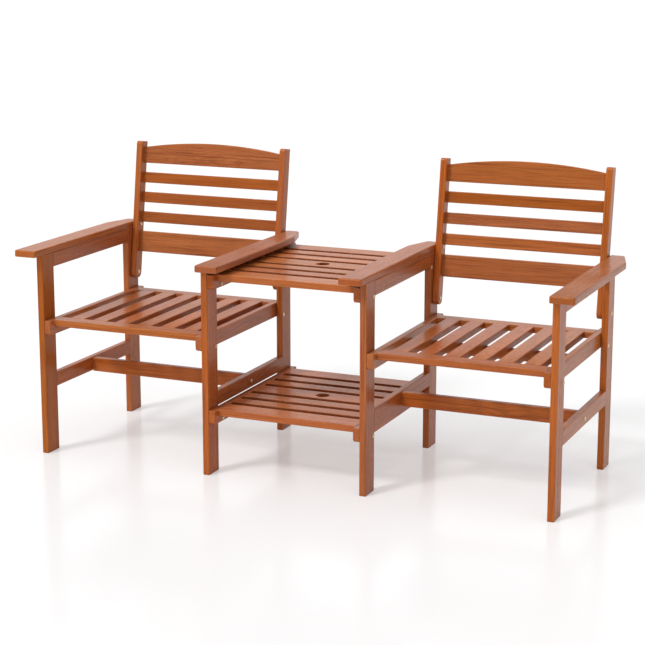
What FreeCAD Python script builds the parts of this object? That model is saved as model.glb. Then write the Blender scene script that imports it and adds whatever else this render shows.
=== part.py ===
import FreeCAD, Part
import os
import re
import Sketcher

# Companion seat: two slatted armchairs joined by a slatted table with a lower shelf.
# Millimetres and degrees. +X runs along the bench, +Y towards the backs, +Z up.
# The origin is on the floor, under the middle of the whole piece.

doc = FreeCAD.newDocument("companion_seat")

SIZES = {
    # Side frames: four flat ladders of two legs, an arm rail and a stretcher
    "leg_thickness": 20.0,
    "leg_depth": 64.0,
    "leg_height": 607.0,
    "frame_depth": 572.0,
    "seat_opening": 525.0,
    "table_opening": 470.0,
    "edge_radius": 2.5,
    "foot_radius": 1.5,
    "arm_rail_height": 43.0,
    "stretcher_height": 43.0,
    "stretcher_top": 239.0,
    "cross_height": 43.0,
    "cross_thickness": 20.0,
    "cross_before_middle": 12.0,
    "cross_drop": 3.0,
    # Arm rests
    "arm_thickness": 20.0,
    "arm_side_overhang": 50.0,
    "arm_front_overhang": 40.0,
    "arm_rear_overhang": 17.0,
    "arm_cut_width": 28.0,
    "arm_cut_length": 95.0,
    "arm_corner_radius": 7.0,
    "arm_top_radius": 4.5,
    # Cleats that carry the seats, the table top and the shelf
    "cleat_thickness": 20.0,
    "cleat_end_inset": 1.0,
    "cleat_corner_radius": 11.0,
    "seat_cleat_height": 44.5,
    "table_cleat_height": 42.0,
    # Seats, table top and shelf: boards flush with the cleats, set back from both faces of the legs
    "panel_thickness": 20.0,
    "panel_set_back": 24.0,
    # Seats
    "seat_below_arm": 196.0,
    "seat_front_rail_width": 46.0,
    "seat_rear_rail_width": 41.0,
    "seat_slat_width": 46.6,
    "seat_batten_width": 49.0,
    "seat_batten_gap": 0.5,
    # Table top and shelf
    "table_below_arm": 14.0,
    "shelf_below_stretcher": 43.7,
    "edge_slat_width": 67.5,
    "narrow_slat_width": 46.6,
    "centre_slat_width": 71.0,
    "umbrella_hole": 41.0,
    # Backs
    "back_angle": 8.1,
    "stile_thickness": 20.0,
    "stile_depth": 38.0,
    "stile_rise": 18.8,
    "stile_foot_set_back": 10.5,
    "stile_foot_flat": 2.0,
    "stile_top_radius": 9.0,
    "back_slat_recess": 20.0,
    "back_slat_thickness": 15.0,
    "back_slat_height": 34.0,
    "back_gap": 29.3,
    "back_rail_height": 66.5,
    "back_rail_start": 85.0,
    "crest_end_height": 50.5,
    "crest_rise": 21.0,
    # Bolts and sleeve nuts that join legs, cleats and stiles, and the screws of the backs
    "bolt_diameter": 6.0,
    "bolt_head_diameter": 11.5,
    "bolt_head_height": 2.5,
    "bolt_end_gap": 4.0,
    "sleeve_diameter": 8.5,
    "sleeve_length": 16.0,
    "blind_sleeve_length": 15.0,
    "bolt_clearance": 0.25,
    "bolt_leg_inset": 9.0,
    "seat_bolt_rise": 7.0,
    "table_bolt_rise": 10.0,
    "screw_diameter": 5.0,
    "screw_grip": 30.0,
    "screw_slat_gap": 1.65,
    # Bolts and barrel nuts of the cross stretchers
    "barrel_diameter": 10.0,
    "barrel_length": 14.0,
    "barrel_depth": 30.0,
    "cross_bolt_spare": 8.0,
    # Wooden dowels inside the joints
    "dowel_diameter": 8.0,
    "dowel_length": 30.0,
    "dowel_clearance": 0.15,
    "dowel_end_gap": 0.5,
    "cleat_dowel_length": 26.0,
    "cleat_dowel_bite": 10.0,
    "arm_dowel_cover": 6.0,
    "dowel_panel_drop": 12.0,
    "rail_dowel_inset": 12.0,
    "wide_dowel_inset": 18.0,
}

SEAT_SLATS = 6
BACK_SLATS = 3

# The slats of the table top and of the shelf, from front to back
TABLE_SLATS = ["edge", "narrow", "narrow", "centre", "narrow", "narrow", "edge"]

# Places worked out from the sizes above. Distances along Y are first taken
# from the front faces of the front legs, and set_y moves them to the origin.
LAYOUT = {
    "overall_legs": "4 * leg_thickness + 2 * seat_opening + table_opening",
    "frame_0_x": "-overall_legs / 2",
    "frame_1_x": "frame_0_x + leg_thickness + seat_opening",
    "frame_2_x": "frame_1_x + leg_thickness + table_opening",
    "frame_3_x": "frame_2_x + leg_thickness + seat_opening",
    "seat_height": "leg_height - seat_below_arm",
    "table_top_height": "leg_height - table_below_arm",
    "shelf_top_height": "stretcher_top - shelf_below_stretcher",
    "back_inside": "seat_opening - 2 * stile_thickness",
    "back_pitch": "back_slat_height + back_gap",
    "back_first_slat": "back_rail_start + back_rail_height + back_gap",
    "crest_start": "back_first_slat + %d * back_pitch" % BACK_SLATS,
    "crest_radius": "(back_inside * back_inside / 4 + crest_rise * crest_rise) / (2 * crest_rise)",
    "stile_length": "crest_start + crest_end_height + stile_rise",
    "stile_mid": "stile_depth / 2",
    "screw_along": "back_first_slat - screw_slat_gap - bolt_head_diameter / 2",
    "screw_height": "leg_height + arm_thickness / 2",
    "stile_foot_height": "screw_height - screw_along * cos(back_angle) + stile_mid * sin(back_angle)",
    "stile_foot_y": "frame_depth - leg_depth + stile_foot_set_back",
    "back_reach": "stile_foot_y + stile_length * sin(back_angle) + stile_depth * cos(back_angle)",
    "set_y": "(arm_front_overhang - back_reach) / 2",
    "back_foot_y": "set_y + stile_foot_y",
    "rear_leg_y": "set_y + frame_depth - leg_depth",
    "rail_start_y": "set_y + leg_depth",
    "rail_length": "frame_depth - 2 * leg_depth",
    "arm_width": "leg_thickness + arm_side_overhang",
    "arm_length": "arm_front_overhang + frame_depth + arm_rear_overhang",
    "arm_cut_start": "arm_length - arm_cut_length",
    "arm_tail_width": "arm_width - arm_cut_width",
    "cleat_length": "frame_depth - 2 * cleat_end_inset",
    "seat_cleat_foot": "seat_height - seat_cleat_height",
    "table_cleat_foot": "table_top_height - table_cleat_height",
    "shelf_cleat_foot": "shelf_top_height - table_cleat_height",
    "seat_inside": "seat_opening - 2 * cleat_thickness",
    "panel_front_y": "set_y + panel_set_back",
    "panel_depth": "frame_depth - 2 * panel_set_back",
    "seat_rear_rail_y": "panel_front_y + panel_depth - seat_rear_rail_width",
    "seat_slat_y": "panel_front_y + seat_front_rail_width",
    "seat_slat_length": "seat_rear_rail_y - seat_slat_y",
    "seat_batten_height": "seat_cleat_height - panel_thickness - seat_batten_gap",
    "seat_batten_y": "panel_front_y + (panel_depth - seat_batten_width) / 2",
    "seat_batten_foot": "seat_height - panel_thickness - seat_batten_height",
    "seat_gap": "(seat_inside - %d * seat_slat_width) / %d" % (SEAT_SLATS, SEAT_SLATS + 1),
    "table_inside": "table_opening - 2 * cleat_thickness",
    "table_slat_x": "frame_1_x + leg_thickness + cleat_thickness",
    "table_wood": " + ".join("%s_slat_width" % kind for kind in TABLE_SLATS),
    "table_gap": "(panel_depth - (table_wood)) / %d" % (len(TABLE_SLATS) - 1),
    "table_slat_0_y": "panel_front_y",
    "hole_y": "table_slat_%d_y + centre_slat_width / 2" % TABLE_SLATS.index("centre"),
    "cross_y": "set_y + frame_depth / 2 - cross_before_middle",
    "cross_top": "stretcher_top - cross_drop",
    "cross_bolt_length": "leg_thickness + barrel_depth + cross_bolt_spare",
}
for index, kind in enumerate(TABLE_SLATS[:-1]):
    step = "table_slat_%d_y + %s_slat_width + table_gap" % (index, kind)
    LAYOUT["table_slat_%d_y" % (index + 1)] = step

NAMES = re.compile(r"\b(" + "|".join(sorted(list(SIZES) + list(LAYOUT), key=len, reverse=True)) + r")\b")


def fill_sheet():
    sheet = doc.addObject("Spreadsheet::Sheet", "Sizes")
    for row, (name, value) in enumerate(SIZES.items(), start=1):
        sheet.set("A%d" % row, name)
        sheet.set("B%d" % row, str(value))
        sheet.setAlias("B%d" % row, name)
    for row, (name, formula) in enumerate(LAYOUT.items(), start=len(SIZES) + 1):
        sheet.set("A%d" % row, name)
        sheet.set("B%d" % row, "=" + formula)
        sheet.setAlias("B%d" % row, name)
    doc.recompute()
    return sheet


sheet = fill_sheet()


def bound(text):
    """Return an expression whose names point at the cells of the sheet."""
    return NAMES.sub(r"Sizes.\1", text)


def value(name):
    """The number in a cell of the sheet, or zero for "0"."""
    return 0.0 if name == "0" else float(getattr(sheet, name))


def bind(thing, prop, text):
    thing.setExpression(prop, bound(text))


def place(thing, x, y, z, lean=None):
    """Set a Placement from the sheet; lean tips the piece back about X."""
    turn = "rotation(vector(1; 0; 0); %s)" % (bound("-1 * " + lean) if lean else "0")
    spot = "vector(%s; %s; %s)" % (bound(x), bound(y), bound(z))
    thing.setExpression("Placement", "placement(%s; %s)" % (spot, turn))


def origin_plane(body, role):
    for feature in body.Origin.OriginFeatures:
        if feature.Role == role:
            return feature
    raise ValueError(role)


def new_sketch(body, role):
    sketch = body.newObject("Sketcher::SketchObject", body.Name + "_outline")
    sketch.AttachmentSupport = [(origin_plane(body, role), "")]
    sketch.MapMode = "FlatFace"
    return sketch


def distance(sketch, kind, first, second, text):
    """Constrain two points of the sketch by a size of the sheet."""
    start = sketch.getPoint(*first)
    end = sketch.getPoint(*second)
    span = end.x - start.x if kind == "DistanceX" else end.y - start.y
    number = sketch.addConstraint(Sketcher.Constraint(kind, *first, *second, span))
    sketch.setExpression("Constraints[%d]" % number, bound(text))


ORIGIN_POINT = (-1, 1)


def polygon_sketch(body, role, corners):
    """Draw a closed outline; each corner is a pair of names from the sheet, or "0"."""
    sketch = new_sketch(body, role)
    spots = []
    for across, up in corners:
        spots.append(FreeCAD.Vector(value(across), value(up), 0))
    for index, spot in enumerate(spots):
        sketch.addGeometry(Part.LineSegment(spot, spots[(index + 1) % len(spots)]), False)
    for index in range(len(spots)):
        sketch.addConstraint(Sketcher.Constraint("Coincident", index, 2, (index + 1) % len(spots), 1))
    for index, (across, up) in enumerate(corners):
        if across == "0":
            sketch.addConstraint(Sketcher.Constraint("PointOnObject", index, 1, -2))
        else:
            distance(sketch, "DistanceX", ORIGIN_POINT, (index, 1), across)
        if up == "0":
            sketch.addConstraint(Sketcher.Constraint("PointOnObject", index, 1, -1))
        else:
            distance(sketch, "DistanceY", ORIGIN_POINT, (index, 1), up)
    return sketch


def pad(body, sketch, length, flip=False):
    feature = body.newObject("PartDesign::Pad", body.Name + "_pad")
    feature.Profile = sketch
    bind(feature, "Length", length)
    feature.Reversed = flip
    doc.recompute()
    return feature


def round_edges(body, chosen, radius):
    """Round the edges of the body that the function chosen picks out."""
    last = body.Tip
    picked = []
    for index, edge in enumerate(last.Shape.Edges, start=1):
        if chosen(edge):
            picked.append("Edge%d" % index)
    feature = body.newObject("PartDesign::Fillet", body.Name + "_round")
    feature.Base = (last, picked)
    bind(feature, "Radius", radius)
    doc.recompute()
    return feature


NEAR = 0.01


def along(axis):
    """Pick straight edges parallel to an axis, 0 for X, 1 for Y and 2 for Z."""
    def chosen(edge):
        if edge.Curve.TypeId != "Part::GeomLine":
            return False
        run = edge.Vertexes[-1].Point - edge.Vertexes[0].Point
        others = [abs(run[other]) for other in range(3) if other != axis]
        return max(others) < NEAR
    return chosen


def in_plane(axis, level):
    """Pick the edges that lie wholly in one plane across an axis."""
    def chosen(edge):
        box = edge.BoundBox
        low = (box.XMin, box.YMin, box.ZMin)[axis]
        high = (box.XMax, box.YMax, box.ZMax)[axis]
        return abs(low - level) < NEAR and abs(high - level) < NEAR
    return chosen


def both(first, second):
    return lambda edge: first(edge) and second(edge)


def either(first, second):
    return lambda edge: first(edge) or second(edge)


def board(label, size, grain, radius="edge_radius"):
    """A plain board of three sizes, with the edges along its grain eased."""
    body = doc.addObject("PartDesign::Body", label)
    length_x, length_y, length_z = size
    corners = [("0", "0"), (length_x, "0"), (length_x, length_y), ("0", length_y)]
    pad(body, polygon_sketch(body, "XY_Plane", corners), length_z)
    round_edges(body, along(grain), radius)
    return body


HOLES = {}


def rod(name, radius, length, x, y, z, direction):
    """A cylinder that starts at a point and runs along +X, -X, +Y or +Z."""
    turns = {
        "+X": "rotation(vector(0; 1; 0); 90)",
        "-X": "rotation(vector(0; 1; 0); -90)",
        "+Y": "rotation(vector(1; 0; 0); -90)",
        "+Z": "rotation(vector(0; 0; 1); 0)",
    }
    cylinder = doc.addObject("Part::Cylinder", name)
    bind(cylinder, "Radius", radius)
    bind(cylinder, "Height", length)
    spot = "vector(%s; %s; %s)" % (bound(x), bound(y), bound(z))
    cylinder.setExpression("Placement", "placement(%s; %s)" % (spot, turns[direction]))
    return cylinder


def drill(node, hole):
    """Note that a hole goes through a node; all holes of a node are cut at the end."""
    HOLES.setdefault(node, []).append(hole)


def group(label, members):
    compound = doc.addObject("Part::Compound", label)
    compound.Links = members
    return compound


NODES = {}


def keep(label, thing):
    """Take a finished piece as a node of the bench."""
    NODES[label] = thing
    return thing


# The side frames, from left to right. toward_seat is +1 where the seat lies at +X.
FRAMES = [
    {"name": "left_end", "x": "frame_0_x", "toward_seat": 1, "seat": "left_seat", "side": "left"},
    {"name": "left_inner", "x": "frame_1_x", "toward_seat": -1, "seat": "left_seat", "side": "right"},
    {"name": "right_inner", "x": "frame_2_x", "toward_seat": 1, "seat": "right_seat", "side": "left"},
    {"name": "right_end", "x": "frame_3_x", "toward_seat": -1, "seat": "right_seat", "side": "right"},
]
TABLE_SIDES = {"left_inner": 1, "right_inner": -1}


def arm_rest(frame):
    """The flat arm rest: square to the seat, overhanging outwards, its rear outer corner cut off."""
    body = doc.addObject("PartDesign::Body", frame["name"] + "_arm_rest")
    if frame["toward_seat"] > 0:
        corners = [
            ("0", "0"),
            ("arm_width", "0"),
            ("arm_width", "arm_length"),
            ("arm_cut_width", "arm_length"),
            ("0", "arm_cut_start"),
        ]
        left = frame["x"] + " - arm_side_overhang"
    else:
        corners = [
            ("0", "0"),
            ("arm_width", "0"),
            ("arm_width", "arm_cut_start"),
            ("arm_tail_width", "arm_length"),
            ("0", "arm_length"),
        ]
        left = frame["x"]
    pad(body, polygon_sketch(body, "XY_Plane", corners), "arm_thickness")
    round_edges(body, along(2), "arm_corner_radius")
    round_edges(body, in_plane(2, value("arm_thickness")), "arm_top_radius")
    round_edges(body, in_plane(2, 0.0), "edge_radius")
    place(body, left, "set_y - arm_front_overhang", "leg_height")
    return keep(body.Label, body)


def leg(frame, position, y):
    body = board(frame["name"] + "_" + position + "_leg", ("leg_thickness", "leg_depth", "leg_height"), 2)
    round_edges(body, in_plane(2, 0.0), "foot_radius")
    place(body, frame["x"], y, "0")
    return keep(body.Label, body)


def side_frame(frame):
    """Two legs, an arm rail under the arm rest and a side stretcher, all of one thickness."""
    leg(frame, "front", "set_y")
    leg(frame, "rear", "rear_leg_y")
    rail = board(frame["name"] + "_arm_rail", ("leg_thickness", "rail_length", "arm_rail_height"), 1)
    place(rail, frame["x"], "rail_start_y", "leg_height - arm_rail_height")
    keep(rail.Label, rail)
    stretcher = board(
        frame["name"] + "_side_stretcher", ("leg_thickness", "rail_length", "stretcher_height"), 1
    )
    place(stretcher, frame["x"], "rail_start_y", "stretcher_top - stretcher_height")
    keep(stretcher.Label, stretcher)
    arm_rest(frame)


def cleat(label, x, foot, height):
    """A bearer bolted to a pair of legs, with rounded lower corners."""
    body = doc.addObject("PartDesign::Body", label)
    corners = [("0", "0"), ("cleat_length", "0"), ("cleat_length", height), ("0", height)]
    pad(body, polygon_sketch(body, "YZ_Plane", corners), "cleat_thickness")
    round_edges(body, both(along(0), in_plane(2, 0.0)), "cleat_corner_radius")
    sides = either(in_plane(0, 0.0), in_plane(0, value("cleat_thickness")))
    round_edges(body, sides, "edge_radius")
    place(body, x, "set_y + cleat_end_inset", foot)
    return keep(label, body)


def beside(frame, side, thickness):
    """The X of a piece laid against the +X or -X face of a frame."""
    if side > 0:
        return frame["x"] + " + leg_thickness"
    return frame["x"] + " - " + thickness


def stile(label, x):
    """A back stile with a round foot, leaning back on the inner face of its rear leg."""
    body = doc.addObject("PartDesign::Body", label)
    corners = [("0", "0"), ("stile_depth", "0"), ("stile_depth", "stile_length"), ("0", "stile_length")]
    pad(body, polygon_sketch(body, "YZ_Plane", corners), "stile_thickness")
    round_edges(body, both(along(0), in_plane(2, 0.0)), "(stile_depth - stile_foot_flat) / 2")
    top_front = both(both(along(0), in_plane(2, value("stile_length"))), in_plane(1, 0.0))
    round_edges(body, top_front, "stile_top_radius")
    sides = either(in_plane(0, 0.0), in_plane(0, value("stile_thickness")))
    round_edges(body, sides, "edge_radius")
    place(body, x, "back_foot_y", "stile_foot_height", lean="back_angle")
    return keep(label, body)


def back_point(along_stile, into_stile):
    """The Y and Z of a point of the leaning back, from its lengths along and into a stile."""
    y = "back_foot_y + (%s) * sin(back_angle) + (%s) * cos(back_angle)" % (along_stile, into_stile)
    z = "stile_foot_height + (%s) * cos(back_angle) - (%s) * sin(back_angle)" % (along_stile, into_stile)
    return y, z


def crest_rail(label, x):
    """The top rail of a back, straight below and arched above."""
    body = doc.addObject("PartDesign::Body", label)
    sketch = new_sketch(body, "XZ_Plane")
    width = value("back_inside")
    end = value("crest_end_height")
    rise = value("crest_rise")
    low_left = FreeCAD.Vector(0, 0, 0)
    low_right = FreeCAD.Vector(width, 0, 0)
    high_right = FreeCAD.Vector(width, end, 0)
    high_left = FreeCAD.Vector(0, end, 0)
    peak = FreeCAD.Vector(width / 2, end + rise, 0)
    sketch.addGeometry(Part.LineSegment(low_left, low_right), False)
    sketch.addGeometry(Part.LineSegment(low_right, high_right), False)
    sketch.addGeometry(Part.Arc(high_right, peak, high_left), False)
    sketch.addGeometry(Part.LineSegment(high_left, low_left), False)
    sketch.addConstraint(Sketcher.Constraint("Coincident", 0, 2, 1, 1))
    sketch.addConstraint(Sketcher.Constraint("Coincident", 1, 2, 2, 1))
    sketch.addConstraint(Sketcher.Constraint("Coincident", 2, 2, 3, 1))
    sketch.addConstraint(Sketcher.Constraint("Coincident", 3, 2, 0, 1))
    sketch.addConstraint(Sketcher.Constraint("Coincident", 0, 1, -1, 1))
    sketch.addConstraint(Sketcher.Constraint("Horizontal", 0))
    sketch.addConstraint(Sketcher.Constraint("Vertical", 1))
    sketch.addConstraint(Sketcher.Constraint("Vertical", 3))
    distance(sketch, "DistanceX", (0, 1), (0, 2), "back_inside")
    distance(sketch, "DistanceY", (1, 1), (1, 2), "crest_end_height")
    distance(sketch, "DistanceY", (3, 2), (3, 1), "crest_end_height")
    radius = sketch.addConstraint(Sketcher.Constraint("Radius", 2, value("crest_radius")))
    sketch.setExpression("Constraints[%d]" % radius, bound("crest_radius"))
    pad(body, sketch, "back_slat_thickness", flip=True)
    ends = either(in_plane(0, 0.0), in_plane(0, width))
    faces = either(in_plane(1, 0.0), in_plane(1, value("back_slat_thickness")))
    round_edges(body, both(faces, lambda edge: not ends(edge)), "edge_radius")
    y, z = back_point("crest_start", "back_slat_recess")
    place(body, x, y, z, lean="back_angle")
    return keep(label, body)


def seat_back(prefix, frame):
    """One chair's back: two stiles, three slats, a wide lower rail and the crest."""
    left = frame["x"] + " + leg_thickness"
    inside = left + " + stile_thickness"
    stile(prefix + "_back_left_stile", left)
    stile(prefix + "_back_right_stile", left + " + seat_opening - stile_thickness")
    rail = board(
        prefix + "_back_lower_rail", ("back_inside", "back_slat_thickness", "back_rail_height"), 0
    )
    y, z = back_point("back_rail_start", "back_slat_recess")
    place(rail, inside, y, z, lean="back_angle")
    keep(rail.Label, rail)
    slats = []
    for index in range(BACK_SLATS):
        slat = board(
            prefix + "_back_slat_%d" % (index + 1),
            ("back_inside", "back_slat_thickness", "back_slat_height"),
            0,
        )
        y, z = back_point("back_first_slat + %d * back_pitch" % index, "back_slat_recess")
        place(slat, inside, y, z, lean="back_angle")
        slats.append(slat)
    keep(prefix + "_back_slats", group(prefix + "_back_slats", slats))
    crest_rail(prefix + "_back_crest_rail", inside)


def seat_panel(prefix, frame):
    """The seat: two rails between the cleats, slats from one to the other, and a batten below them."""
    inside = frame["x"] + " + leg_thickness + cleat_thickness"
    low = "seat_height - panel_thickness"
    front = board(prefix + "_front_rail", ("seat_inside", "seat_front_rail_width", "panel_thickness"), 0)
    place(front, inside, "panel_front_y", low)
    rear = board(prefix + "_rear_rail", ("seat_inside", "seat_rear_rail_width", "panel_thickness"), 0)
    place(rear, inside, "seat_rear_rail_y", low)
    keep(prefix + "_rails", group(prefix + "_rails", [front, rear]))
    batten = board(prefix + "_batten", ("seat_inside", "seat_batten_width", "seat_batten_height"), 0)
    place(batten, inside, "seat_batten_y", "seat_batten_foot")
    keep(batten.Label, batten)
    slats = []
    for index in range(SEAT_SLATS):
        slat = board(
            prefix + "_slat_%d" % (index + 1), ("seat_slat_width", "seat_slat_length", "panel_thickness"), 1
        )
        step = " + %d * seat_gap + %d * seat_slat_width" % (index + 1, index)
        place(slat, inside + step, "seat_slat_y", low)
        slats.append(slat)
    keep(prefix + "_slats", group(prefix + "_slats", slats))


def slat_panel(prefix, top):
    """A table top or shelf: wide slats at front and back, and a holed centre slat."""
    low = top + " - panel_thickness"
    kinds = {"edge": [], "narrow": [], "centre": []}
    for index, kind in enumerate(TABLE_SLATS):
        size = ("table_inside", kind + "_slat_width", "panel_thickness")
        slat = board(prefix + "_slat_%d" % (index + 1), size, 0)
        place(slat, "table_slat_x", "table_slat_%d_y" % index, low)
        kinds[kind].append(slat)
    keep(prefix + "_edge_slats", group(prefix + "_edge_slats", kinds["edge"]))
    keep(prefix + "_narrow_slats", group(prefix + "_narrow_slats", kinds["narrow"]))
    keep(prefix + "_centre_slat", kinds["centre"][0])
    middle = "table_slat_x + table_inside / 2"
    hole = rod(prefix + "_hole", "umbrella_hole / 2", "panel_thickness", middle, "hole_y", low, "+Z")
    drill(prefix + "_centre_slat", hole)


def cross_stretcher(prefix, frame):
    label = prefix + "_cross_stretcher"
    body = board(label, ("seat_opening", "cross_thickness", "cross_height"), 0)
    place(body, frame["x"] + " + leg_thickness", "cross_y", "cross_top - cross_height")
    return keep(label, body)


BOLTS = {"cleat_bolts": [], "back_bolts": []}
SLEEVES = []


def through_bolt(kind, name, frame, side, y, z, leg_node, inner_node, inner_thickness):
    """A bolt from the far face of a leg, and a sleeve nut from the face of the piece on it.

    side is the side of the leg, +1 or -1 along X, that carries the inner piece.
    """
    ahead = "+X" if side > 0 else "-X"
    back = "-X" if side > 0 else "+X"
    away = "+" if side > 0 else "-"
    far = frame["x"] if side > 0 else frame["x"] + " + leg_thickness"
    near = far + " %s leg_thickness %s %s" % (away, away, inner_thickness)
    length = "leg_thickness + %s - bolt_end_gap" % inner_thickness
    head = rod(name + "_head", "bolt_head_diameter / 2", "bolt_head_height", far, y, z, back)
    shank = rod(name + "_shank", "bolt_diameter / 2", length, far, y, z, ahead)
    BOLTS[kind].append(fused(name + "_bolt", [head, shank]))
    cap = rod(name + "_cap", "bolt_head_diameter / 2", "bolt_head_height", near, y, z, ahead)
    sleeve = rod(name + "_sleeve", "sleeve_diameter / 2", "sleeve_length", near, y, z, back)
    bore = rod(name + "_bore", "bolt_diameter / 2 + bolt_clearance", "sleeve_length", near, y, z, back)
    SLEEVES.append(cut(name + "_nut", fused(name + "_nut_blank", [cap, sleeve]), [bore]))
    leg_radius = "bolt_diameter / 2 + bolt_clearance"
    leg_hole = rod(name + "_leg_hole", leg_radius, "leg_thickness", far, y, z, ahead)
    inner_radius = "sleeve_diameter / 2 + bolt_clearance"
    inner_hole = rod(name + "_inner_hole", inner_radius, inner_thickness, near, y, z, back)
    drill(leg_node, leg_hole)
    drill(inner_node, inner_hole)


def blind_bolt(kind, name, frame, side, y, z, leg_node, inner_node):
    """A bolt from the far face of a leg into a threaded sleeve hidden in the piece on it."""
    ahead = "+X" if side > 0 else "-X"
    back = "-X" if side > 0 else "+X"
    away = "+" if side > 0 else "-"
    far = frame["x"] if side > 0 else frame["x"] + " + leg_thickness"
    near = far + " %s leg_thickness" % away
    length = "leg_thickness + blind_sleeve_length - bolt_end_gap"
    head = rod(name + "_head", "bolt_head_diameter / 2", "bolt_head_height", far, y, z, back)
    shank = rod(name + "_shank", "bolt_diameter / 2", length, far, y, z, ahead)
    BOLTS[kind].append(fused(name + "_bolt", [head, shank]))
    blank = rod(name + "_blank", "sleeve_diameter / 2", "blind_sleeve_length", near, y, z, ahead)
    core = "bolt_diameter / 2 + bolt_clearance"
    bore = rod(name + "_bore", core, "blind_sleeve_length", near, y, z, ahead)
    SLEEVES.append(cut(name + "_nut", blank, [bore]))
    leg_hole = rod(name + "_leg_hole", core, "leg_thickness", far, y, z, ahead)
    inner_radius = "sleeve_diameter / 2 + bolt_clearance"
    inner_length = "blind_sleeve_length + dowel_end_gap"
    inner_hole = rod(name + "_inner_hole", inner_radius, inner_length, near, y, z, ahead)
    drill(leg_node, leg_hole)
    drill(inner_node, inner_hole)


def fused(name, members):
    fuse = doc.addObject("Part::MultiFuse", name)
    fuse.Shapes = members
    return fuse


def cut(name, base, tools):
    result = doc.addObject("Part::Cut", name)
    result.Base = base
    result.Tool = tools[0] if len(tools) == 1 else group(name + "_tools", tools)
    return result


def leg_spots(frame, panel):
    """The name, leg and Y of each bolt that holds a cleat: near the inner edge of each leg."""
    places = {"front": "set_y + leg_depth - bolt_leg_inset", "rear": "rear_leg_y + bolt_leg_inset"}
    for end, y in places.items():
        yield "%s_%s_%s" % (frame["name"], panel, end), "%s_%s_leg" % (frame["name"], end), y


def table_bolts(frame, side, foot, panel, cleat_node):
    """Bolts right through the cleats of the table top and shelf, low in the cleat."""
    z = foot + " + table_bolt_rise"
    for name, leg_node, y in leg_spots(frame, panel):
        through_bolt("cleat_bolts", name, frame, side, y, z, leg_node, cleat_node, "cleat_thickness")


def seat_bolts(frame, cleat_node):
    """Bolts that end inside the cleats of the seats, low in the cleat."""
    z = "seat_cleat_foot + seat_bolt_rise"
    for name, leg_node, y in leg_spots(frame, "seat"):
        blind_bolt("cleat_bolts", name, frame, frame["toward_seat"], y, z, leg_node, cleat_node)


SCREWS = []


def back_fixings(frame):
    """The lower bolt through the rear leg and the upper screw into the edge of the arm rest."""
    side = frame["toward_seat"]
    stile_node = "%s_back_%s_stile" % (frame["seat"], frame["side"])
    leg_node = frame["name"] + "_rear_leg"
    y, z = back_point("stile_mid", "stile_mid")
    name = frame["name"] + "_back"
    through_bolt("back_bolts", name, frame, side, y, z, leg_node, stile_node, "stile_thickness")
    y, z = back_point("screw_along", "stile_mid")
    ahead = "+X" if side > 0 else "-X"
    back = "-X" if side > 0 else "+X"
    away = "+" if side > 0 else "-"
    leg_face = frame["x"] + (" + leg_thickness" if side > 0 else "")
    near = leg_face + " %s stile_thickness" % away
    name = frame["name"] + "_screw"
    head = rod(name + "_head", "bolt_head_diameter / 2", "bolt_head_height", near, y, z, ahead)
    shank = rod(name + "_shank", "screw_diameter / 2", "stile_thickness + screw_grip", near, y, z, back)
    SCREWS.append(fused(name, [head, shank]))
    hole = rod(
        name + "_hole",
        "screw_diameter / 2 + bolt_clearance",
        "stile_thickness + screw_grip + dowel_end_gap",
        near,
        y,
        z,
        back,
    )
    drill(stile_node, hole)
    drill(frame["name"] + "_arm_rest", hole)


CROSS_BOLTS = []
BARRELS = []


def cross_fixing(prefix, frame):
    """A bolt through a side stretcher into a barrel nut that lies across the cross stretcher."""
    side = frame["toward_seat"]
    ahead = "+X" if side > 0 else "-X"
    back = "-X" if side > 0 else "+X"
    away = "+" if side > 0 else "-"
    far = frame["x"] if side > 0 else frame["x"] + " + leg_thickness"
    y = "cross_y + cross_thickness / 2"
    z = "cross_top - cross_height / 2"
    name = frame["name"] + "_cross"
    head = rod(name + "_head", "bolt_head_diameter / 2", "bolt_head_height", far, y, z, back)
    shank = rod(name + "_shank", "bolt_diameter / 2", "cross_bolt_length", far, y, z, ahead)
    CROSS_BOLTS.append(fused(name + "_bolt", [head, shank]))
    hole = rod(
        name + "_hole",
        "bolt_diameter / 2 + bolt_clearance",
        "cross_bolt_length + dowel_end_gap",
        far,
        y,
        z,
        ahead,
    )
    drill(frame["name"] + "_side_stretcher", hole)
    drill(prefix + "_cross_stretcher", hole)
    barrel_x = far + " %s leg_thickness %s barrel_depth" % (away, away)
    barrel_y = "cross_y + cross_thickness - barrel_length"
    blank = rod(name + "_barrel_blank", "barrel_diameter / 2", "barrel_length", barrel_x, barrel_y, z, "+Y")
    BARRELS.append(cut(name + "_barrel", blank, [hole]))
    seat = rod(
        name + "_barrel_seat",
        "barrel_diameter / 2 + bolt_clearance",
        "barrel_length + bolt_clearance",
        barrel_x,
        barrel_y + " - bolt_clearance",
        z,
        "+Y",
    )
    drill(prefix + "_cross_stretcher", seat)


DOWELS = {"frame_dowels": [], "panel_dowels": []}


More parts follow.
